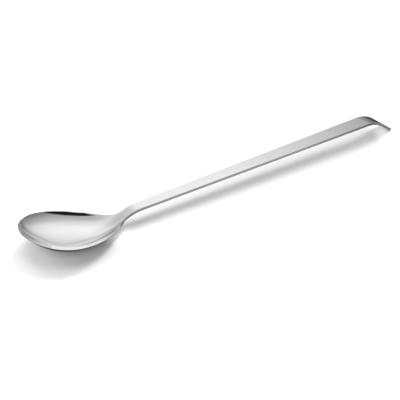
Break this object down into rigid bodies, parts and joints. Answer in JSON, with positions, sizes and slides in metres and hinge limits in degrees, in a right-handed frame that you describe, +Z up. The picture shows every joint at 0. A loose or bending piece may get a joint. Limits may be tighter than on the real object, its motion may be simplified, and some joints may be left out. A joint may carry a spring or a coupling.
{
  "type": "serving spoon",
  "caption": "Polished steel serving spoon: egg-shaped dished bowl on a short shank, and a long flat tapered handle bar whose end bends down as a hook.",
  "frame": {"origin": "on the table the spoon lies on, below the middle of its length and width", "axes": "+X along the spoon from the bowl to the hook, +Y across it, +Z up"},
  "size_m": [0.3954, 0.0682, 0.0228],
  "materials": {
    "bowl_steel": "bright polished stainless steel with fine polishing marks",
    "handle_steel": "bright polished stainless steel with fine lengthwise polishing marks"
  },
  "bodies": {
    "root": {"bowl": "bowl_steel", "handle": "handle_steel"}
  },
  "joints": []
}
